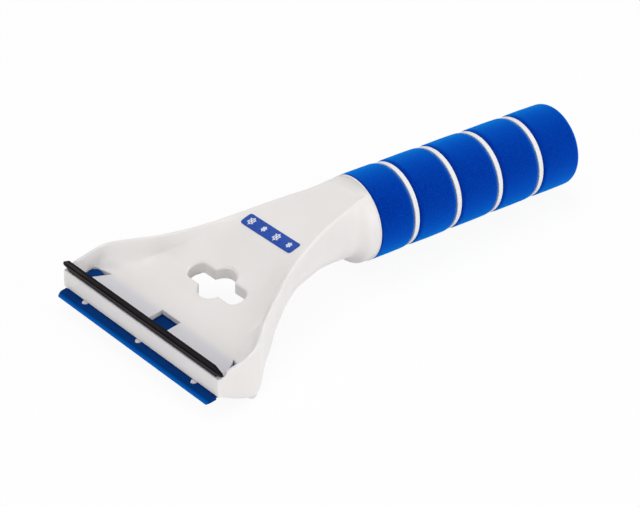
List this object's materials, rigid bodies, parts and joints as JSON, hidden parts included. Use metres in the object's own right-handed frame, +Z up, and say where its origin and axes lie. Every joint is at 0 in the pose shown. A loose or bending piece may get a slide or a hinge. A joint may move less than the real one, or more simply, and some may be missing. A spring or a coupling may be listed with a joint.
{
  "type": "ice scraper",
  "caption": "Hand ice scraper with a wide hollow moulded head, a blade, a rubber lip and a ringed foam grip.",
  "frame": {"origin": "middle of the footprint, on the surface the tool lies on", "axes": "+Y from the blade towards the far end of the grip, +X to the right along the blade, +Z up from the surface"},
  "size_m": [0.1138, 0.225, 0.0427],
  "materials": {
    "white_plastic": "moulded white plastic, faintly warm, satin",
    "blue_plastic": "hard blue plastic, slightly glossy",
    "black_rubber": "black rubber with a grey-brown worn front face",
    "blue_foam": "closed-cell foam with a fine grain, matt blue",
    "white_foam": "closed-cell foam, matt white",
    "white_plug": "moulded white plastic, matt"
  },
  "bodies": {
    "root": {"scraper_body": "white_plastic", "scraper_blade": "blue_plastic", "squeegee_rubber": "black_rubber", "handle_end_plug": "white_plug", "grip_ring_1": "blue_foam", "grip_ring_2": "blue_foam", "grip_ring_3": "blue_foam", "grip_ring_4": "blue_foam", "grip_ring_5": "blue_foam", "grip_stripe_1": "white_foam", "grip_stripe_2": "white_foam", "grip_stripe_3": "white_foam", "grip_stripe_4": "white_foam"}
  },
  "joints": []
}
